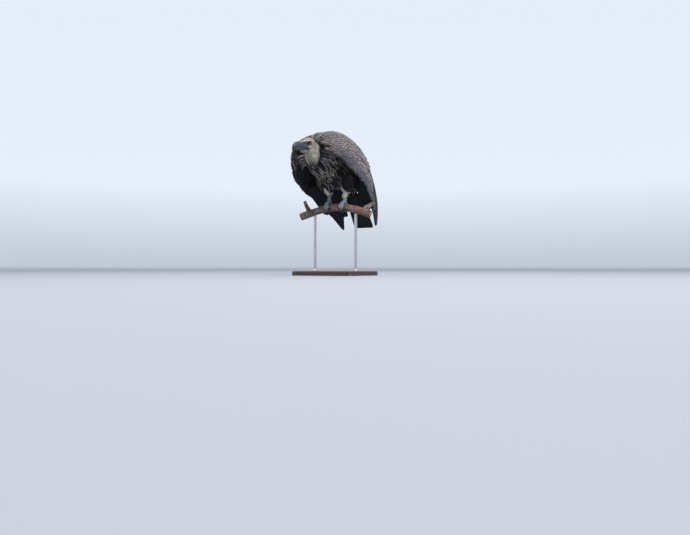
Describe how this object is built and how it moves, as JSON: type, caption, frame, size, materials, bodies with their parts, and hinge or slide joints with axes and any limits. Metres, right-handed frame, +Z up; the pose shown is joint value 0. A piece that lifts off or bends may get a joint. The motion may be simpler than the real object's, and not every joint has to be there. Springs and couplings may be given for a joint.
{
  "type": "life-size model of a young white-backed vulture on a perch",
  "caption": "Hunched young vulture with drooped wings and lowered head, gripping a short cut branch held above a flat base by slim rods.",
  "frame": {"origin": "centre of the display stand's underside, on the floor", "axes": "+Z up; -Y is the way the bird faces; +X is the bird's left, along the perch"},
  "size_m": [0.4159, 0.6101, 0.7043],
  "materials": {
    "brown_feather": "matte grey-brown feathers with pale shaft streaks",
    "dark_feather": "blue-black flight and tail feathers",
    "neck_down": "pale olive-cream down",
    "face_skin": "thinly downed cream, pink and tan skin, slate about the eye",
    "bill_horn": "dark slate horn with a soft sheen",
    "eye": "polished dark brown",
    "leg_skin": "scaly blue-grey skin",
    "claw_horn": "dark horn",
    "bark": "rough reddish-grey bark with pale sawn ends",
    "stand_wood": "dark satin varnish",
    "stand_steel": "satin"
  },
  "bodies": {
    "root": {"bill_lower": "bill_horn", "bill_upper": "bill_horn", "claw_left_hind": "claw_horn", "claw_left_inner": "claw_horn", "claw_left_middle": "claw_horn", "claw_left_outer": "claw_horn", "claw_right_hind": "claw_horn", "claw_right_inner": "claw_horn", "claw_right_middle": "claw_horn", "claw_right_outer": "claw_horn", "eye_left": "eye", "eye_right": "eye", "foot_left": "leg_skin", "foot_right": "leg_skin", "head": "face_skin", "neck": "neck_down", "perch": "bark", "ruff": "brown_feather", "stand_base": "stand_wood", "stand_rod_left": "stand_steel", "stand_rod_right": "stand_steel", "tail": "dark_feather", "tarsus_left": "leg_skin", "tarsus_right": "leg_skin", "thigh_left": "brown_feather", "thigh_right": "brown_feather", "trunk": "brown_feather", "wing_left_coverts": "brown_feather", "wing_left_primaries": "dark_feather", "wing_left_secondaries": "dark_feather", "wing_right_coverts": "brown_feather", "wing_right_primaries": "dark_feather", "wing_right_secondaries": "dark_feather"}
  },
  "joints": []
}
